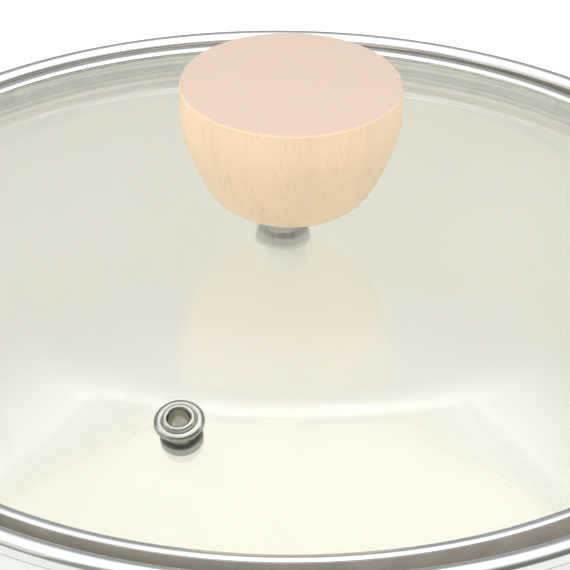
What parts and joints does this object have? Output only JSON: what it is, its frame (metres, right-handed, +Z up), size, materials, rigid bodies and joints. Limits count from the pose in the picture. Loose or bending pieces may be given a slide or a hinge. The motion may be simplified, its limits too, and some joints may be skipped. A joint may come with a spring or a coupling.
{
  "type": "saucepan with glass lid",
  "caption": "Light-coloured coated saucepan with a steel rim, wooden handle with a hanging loop, and a glass lid with a steel ring, steam vent and wooden knob.",
  "frame": {"origin": "centre of the underside of the pan, on its axis, at table height", "axes": "+Z up along the axis of the pan, +X along the handle, +Y to the left of the handle seen from the pan"},
  "size_m": [0.3871, 0.2092, 0.1263],
  "materials": {
    "pan_coating": "cream ceramic coating on cast metal, soft gloss",
    "rim_steel": "polished stainless steel",
    "base_steel": "turned stainless steel",
    "bracket_metal": "satin cast metal",
    "rivet_metal": "satin",
    "handle_steel": "satin stainless steel",
    "fibre_washer": "matte",
    "grip_wood": "pale beech, clear satin lacquer",
    "rod_steel": "zinc plated",
    "wire_steel": "polished wire",
    "lid_glass": "clear tempered glass",
    "ring_steel": "polished stainless steel",
    "silicone": "translucent grey silicone",
    "knob_wood": "pale beech, clear satin lacquer",
    "insert_brass": "machined",
    "collar_steel": "polished stainless steel",
    "cup_nylon": "cream nylon",
    "washer_steel": "stainless steel",
    "screw_steel": "stainless steel",
    "vent_steel": "polished stainless steel",
    "vent_washer_steel": "stainless steel"
  },
  "bodies": {
    "pan": {"pan_body": "pan_coating", "rim_band": "rim_steel", "induction_base": "base_steel", "handle_bracket": "bracket_metal", "handle_rivets": "rivet_metal", "handle_ferrule": "handle_steel", "handle_washer": "fibre_washer", "handle_grip": "grip_wood", "handle_rod": "rod_steel", "handle_end_cap": "handle_steel"},
    "lid": {"lid_glass": "lid_glass", "lid_rim_ring": "ring_steel", "lid_rim_seal": "silicone", "knob": "knob_wood", "knob_insert": "insert_brass", "knob_collar": "collar_steel", "knob_upper_gasket": "silicone", "knob_lower_gasket": "silicone", "knob_cup_washer": "cup_nylon", "knob_lock_washer": "washer_steel", "knob_screw": "screw_steel", "vent_eyelet": "vent_steel", "vent_gasket": "silicone", "vent_washer": "vent_washer_steel"},
    "loop": {"hanging_loop": "wire_steel"}
  },
  "joints": [
    {"name": "lid_lift", "type": "slide", "parent": "pan", "child": "lid", "axis": [0, 0, 1], "range_m": [0, 0.08]},
    {"name": "loop_swing", "type": "hinge", "parent": "pan", "child": "loop", "pos_m": [0.27803, 0, 0.09006], "axis": [0, 1, 0], "range_deg": [-235, 40]}
  ]
}
